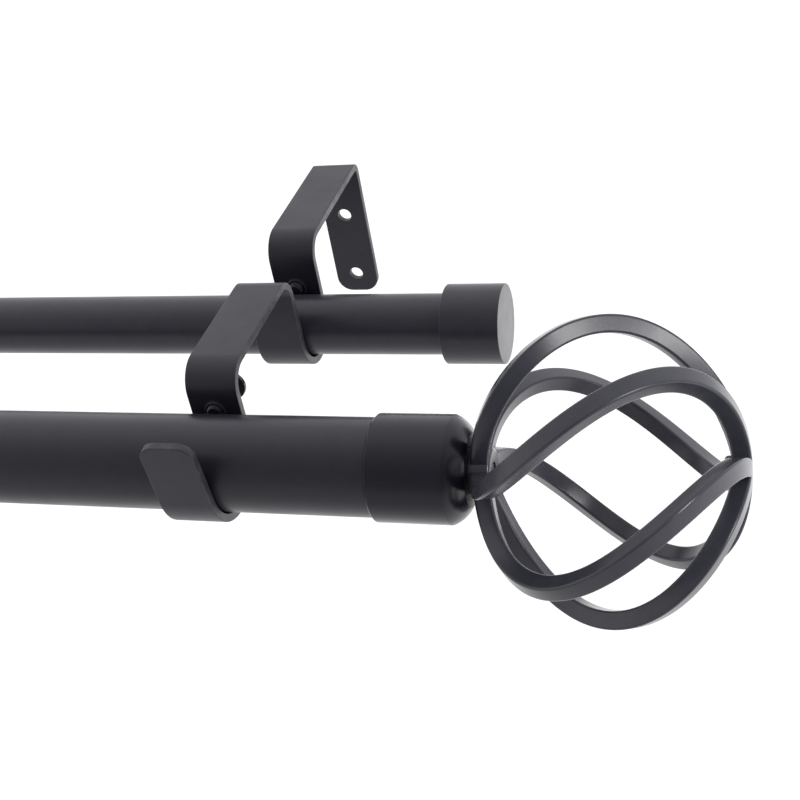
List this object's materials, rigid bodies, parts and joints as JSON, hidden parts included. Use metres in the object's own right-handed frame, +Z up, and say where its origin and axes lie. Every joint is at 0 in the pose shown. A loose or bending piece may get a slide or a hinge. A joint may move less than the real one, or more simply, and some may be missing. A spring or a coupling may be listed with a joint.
{
  "type": "double curtain pole",
  "caption": "Double curtain pole: a thick front tube with twisted cage finials and a thin rear tube with caps, on two bent strap brackets.",
  "frame": {"origin": "the middle of the four wall holes, on the wall's surface", "axes": "+X along the poles towards the end that the picture shows, +Y into the wall, +Z up"},
  "size_m": [0.8612, 0.1928, 0.0785],
  "materials": {
    "powder_coat": "satin black powder coat on a tube or cap",
    "strap_coat": "satin black powder coat on steel strap, thinner and rougher on the cut edges",
    "cage_coat": "smooth satin black paint on bent square bar",
    "collar_enamel": "semi-gloss black enamel on a turned sleeve",
    "screw_black": "black screw steel"
  },
  "bodies": {
    "root": {"front_pole": "powder_coat", "rear_pole": "powder_coat", "left_bracket": "strap_coat", "left_front_clamp_screw": "screw_black", "left_rear_clamp_screw": "screw_black", "left_finial_collar": "collar_enamel", "left_finial_cage": "cage_coat", "left_finial_screw": "screw_black", "left_collar_grub": "screw_black", "left_rear_cap": "powder_coat", "left_cap_grub": "screw_black", "right_bracket": "strap_coat", "right_front_clamp_screw": "screw_black", "right_rear_clamp_screw": "screw_black", "right_finial_collar": "collar_enamel", "right_finial_cage": "cage_coat", "right_finial_screw": "screw_black", "right_collar_grub": "screw_black", "right_rear_cap": "powder_coat", "right_cap_grub": "screw_black"}
  },
  "joints": []
}
